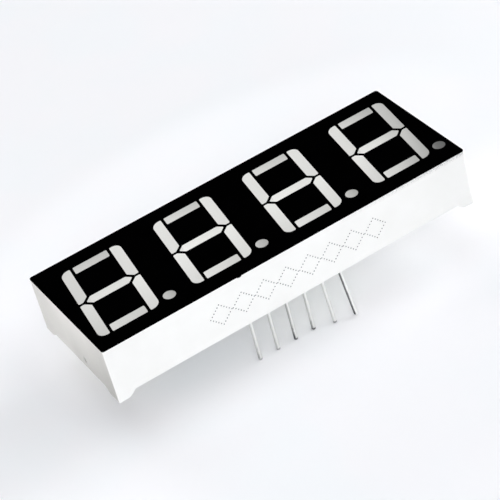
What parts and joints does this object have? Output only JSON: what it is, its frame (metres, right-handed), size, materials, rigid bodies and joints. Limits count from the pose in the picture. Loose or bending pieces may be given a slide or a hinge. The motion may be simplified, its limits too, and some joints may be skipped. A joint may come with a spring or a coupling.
{
  "type": "seven segment display module",
  "caption": "Flat display block with slanted seven-segment digits and decimal points in a black face, corner feet and rows of round leads underneath.",
  "frame": {"origin": "centre of the lead pattern on the seating plane, where the tips of the corner feet meet a circuit board", "axes": "+X along the module from its first digit to its last, +Y towards the tops of the digits, +Z out through the face; the leads point along -Z"},
  "size_m": [0.0502, 0.0191, 0.0142],
  "materials": {
    "housing": "moulded matt white",
    "film": "dead matt black",
    "resin": "cloudy cast resin",
    "board": "glass laminate",
    "solder": "bright solder",
    "lead": "satin tinned wire",
    "die": "polished crystal",
    "wire": "drawn wire"
  },
  "bodies": {
    "root": {"housing": "housing", "face_film": "film", "resin_fill": "resin", "circuit_board": "board", "solder_joints": "solder", "lead_1": "lead", "lead_2": "lead", "lead_3": "lead", "lead_4": "lead", "lead_5": "lead", "lead_6": "lead", "lead_7": "lead", "lead_8": "lead", "lead_9": "lead", "lead_10": "lead", "lead_11": "lead", "lead_12": "lead", "led_die_1a": "die", "led_die_1b": "die", "led_die_1c": "die", "led_die_1d": "die", "led_die_1e": "die", "led_die_1f": "die", "led_die_1g": "die", "led_die_1dp": "die", "led_die_2a": "die", "led_die_2b": "die", "led_die_2c": "die", "led_die_2d": "die", "led_die_2e": "die", "led_die_2f": "die", "led_die_2g": "die", "led_die_2dp": "die", "led_die_3a": "die", "led_die_3b": "die", "led_die_3c": "die", "led_die_3d": "die", "led_die_3e": "die", "led_die_3f": "die", "led_die_3g": "die", "led_die_3dp": "die", "led_die_4a": "die", "led_die_4b": "die", "led_die_4c": "die", "led_die_4d": "die", "led_die_4e": "die", "led_die_4f": "die", "led_die_4g": "die", "led_die_4dp": "die", "bond_wires_1": "wire", "bond_wires_2": "wire", "bond_wires_3": "wire", "bond_wires_4": "wire"}
  },
  "joints": []
}
